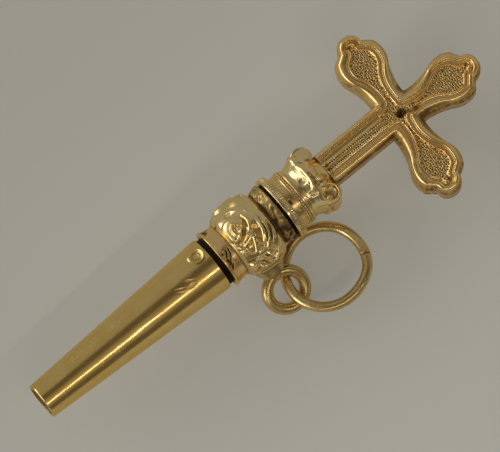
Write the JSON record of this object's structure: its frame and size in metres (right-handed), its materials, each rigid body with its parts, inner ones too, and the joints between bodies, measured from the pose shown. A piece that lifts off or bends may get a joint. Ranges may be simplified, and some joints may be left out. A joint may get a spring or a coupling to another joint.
{
  "type": "watch key",
  "caption": "Gold-cased watch key with a square winding socket, a free-turning sleeve with an eye and jump ring for a chain, and a cross-shaped handle.",
  "frame": {"origin": "centre of the barrel's mouth, on the axis of the winding socket", "axes": "+X along the key from the mouth to the tip of the cross; +Z out of the front face of the cross; the eye and ring are on the -Y side"},
  "size_m": [0.045, 0.0168, 0.0079],
  "materials": {
    "gold_polished": "polished gold, slightly worn",
    "gold_satin": "satin gold with a stippled ground",
    "gold_worn": "worn gold with fine scratches",
    "gold_dark": "tarnished gold, dark in the recesses",
    "steel": "aged steel",
    "brass": "turned brass"
  },
  "bodies": {
    "key": {"barrel_case": "gold_worn", "winding_pipe": "steel", "barrel_plug": "brass", "locking_pin": "steel", "spindle": "steel", "lower_washer": "gold_dark", "upper_washer": "gold_dark", "head_disc": "gold_polished", "milled_wire": "gold_polished", "head_sleeve": "gold_worn", "lower_band_wire": "gold_polished", "upper_band_wire": "gold_polished", "bead_wire": "gold_dark", "knop": "gold_polished", "cross_front": "gold_satin", "cross_back": "gold_satin", "cross_tang": "brass"},
    "swivel": {"swivel_bush": "brass", "lower_collar": "gold_worn", "neck_collar": "gold_dark", "swivel_shell_front": "gold_polished", "swivel_shell_back": "gold_polished", "eye": "gold_polished", "eye_saddle": "gold_polished"},
    "ring": {"jump_ring": "gold_worn"}
  },
  "joints": [
    {"name": "swivel_turn", "type": "hinge", "parent": "key", "child": "swivel", "pos_m": [0.0215, 0, 0], "axis": [1, 0, 0], "continuous": true},
    {"name": "ring_swing", "type": "hinge", "parent": "swivel", "child": "ring", "pos_m": [0.02147, -0.00496, -0.0031], "axis": [0, -0.5299, 0.848], "range_deg": [-175, 5]}
  ]
}
